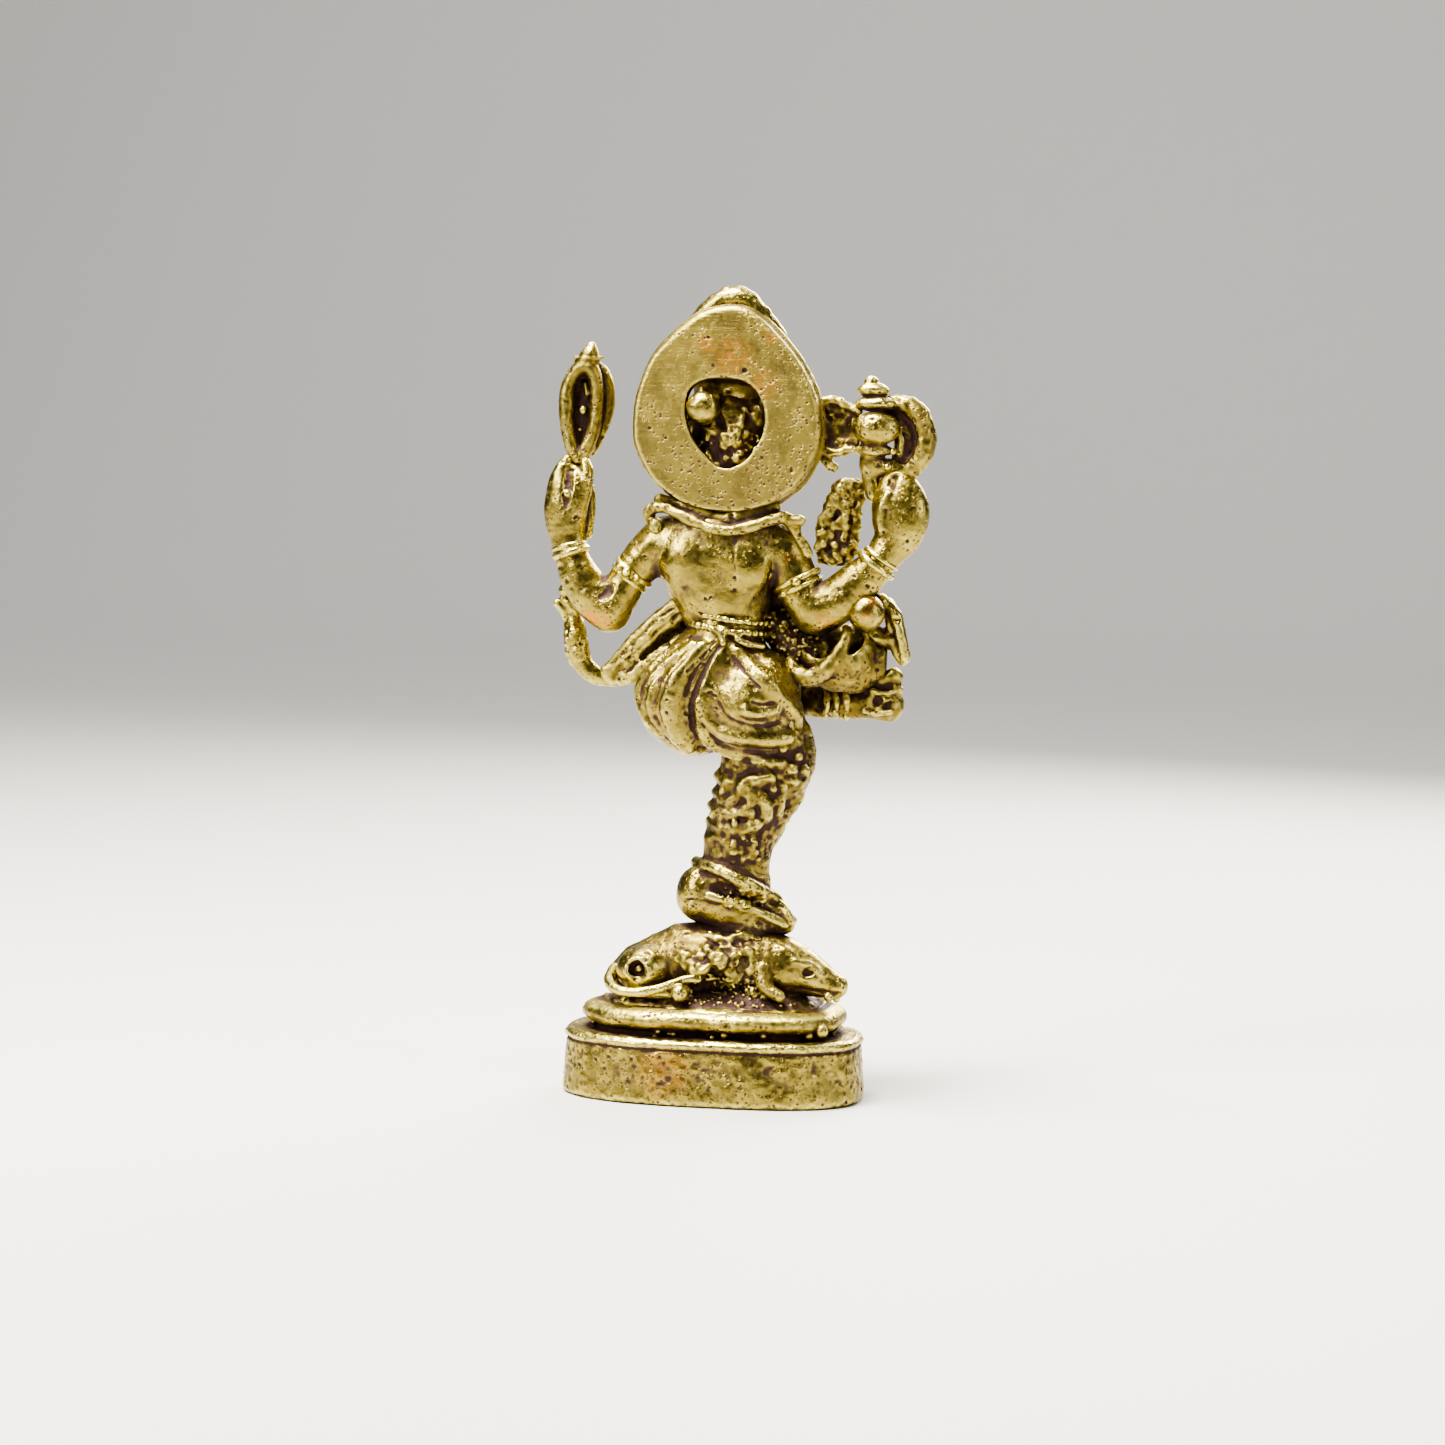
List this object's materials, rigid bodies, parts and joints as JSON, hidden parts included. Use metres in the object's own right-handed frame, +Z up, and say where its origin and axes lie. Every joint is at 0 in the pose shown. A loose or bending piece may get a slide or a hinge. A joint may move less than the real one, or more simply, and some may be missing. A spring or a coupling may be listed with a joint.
{
  "type": "dancing deity figurine",
  "caption": "Small cast brass figurine of a four-armed elephant-headed dancer with a leaf-shaped halo, on one leg on a rat, on an oval stepped base.",
  "frame": {"origin": "centre of the oval base's flat underside", "axes": "+Z up, -Y the way the figure faces, +X the figure's left side"},
  "size_m": [0.0171, 0.0092, 0.0352],
  "materials": {
    "polished_brass": "cast brass, high spots rubbed bright",
    "satin_brass": "cast brass, satin, with dark pits",
    "patinated_brass": "cast brass darkened by a brown patina"
  },
  "bodies": {
    "root": {"axe_blade": "patinated_brass", "axe_bulb": "polished_brass", "axe_finial": "polished_brass", "axe_hook": "polished_brass", "axe_stem": "patinated_brass", "base_drum": "satin_brass", "base_ground": "patinated_brass", "base_neck": "patinated_brass", "base_rim": "polished_brass", "base_step": "polished_brass", "belt": "polished_brass", "belt_knot": "polished_brass", "bowl": "satin_brass", "bowl_sweet": "polished_brass", "crown": "polished_brass", "dhoti": "satin_brass", "halo": "polished_brass", "halo_boss": "polished_brass", "head": "satin_brass", "left_ear": "satin_brass", "left_front_arm": "satin_brass", "left_front_hand": "polished_brass", "left_front_sweet": "polished_brass", "left_rear_arm": "polished_brass", "left_rear_armlet": "polished_brass", "left_rear_bangle": "polished_brass", "left_rear_hand": "polished_brass", "necklace": "polished_brass", "noose": "polished_brass", "raised_anklet": "polished_brass", "raised_foot": "polished_brass", "raised_shin": "satin_brass", "raised_thigh": "satin_brass", "rat_body": "satin_brass", "rat_head": "polished_brass", "rat_left_foreleg": "satin_brass", "rat_left_haunch": "polished_brass", "rat_right_foreleg": "satin_brass", "rat_right_haunch": "polished_brass", "rat_saddle": "satin_brass", "rat_tail": "polished_brass", "right_ear": "satin_brass", "right_front_arm": "satin_brass", "right_front_hand": "polished_brass", "right_rear_arm": "polished_brass", "right_rear_armlet": "polished_brass", "right_rear_bangle": "polished_brass", "right_rear_hand": "polished_brass", "scarf": "patinated_brass", "standing_ankle": "satin_brass", "standing_anklet": "polished_brass", "standing_foot": "polished_brass", "standing_shin": "patinated_brass", "standing_thigh": "patinated_brass", "tassel": "satin_brass", "torso": "satin_brass", "trunk": "satin_brass", "tusk": "polished_brass"}
  },
  "joints": []
}
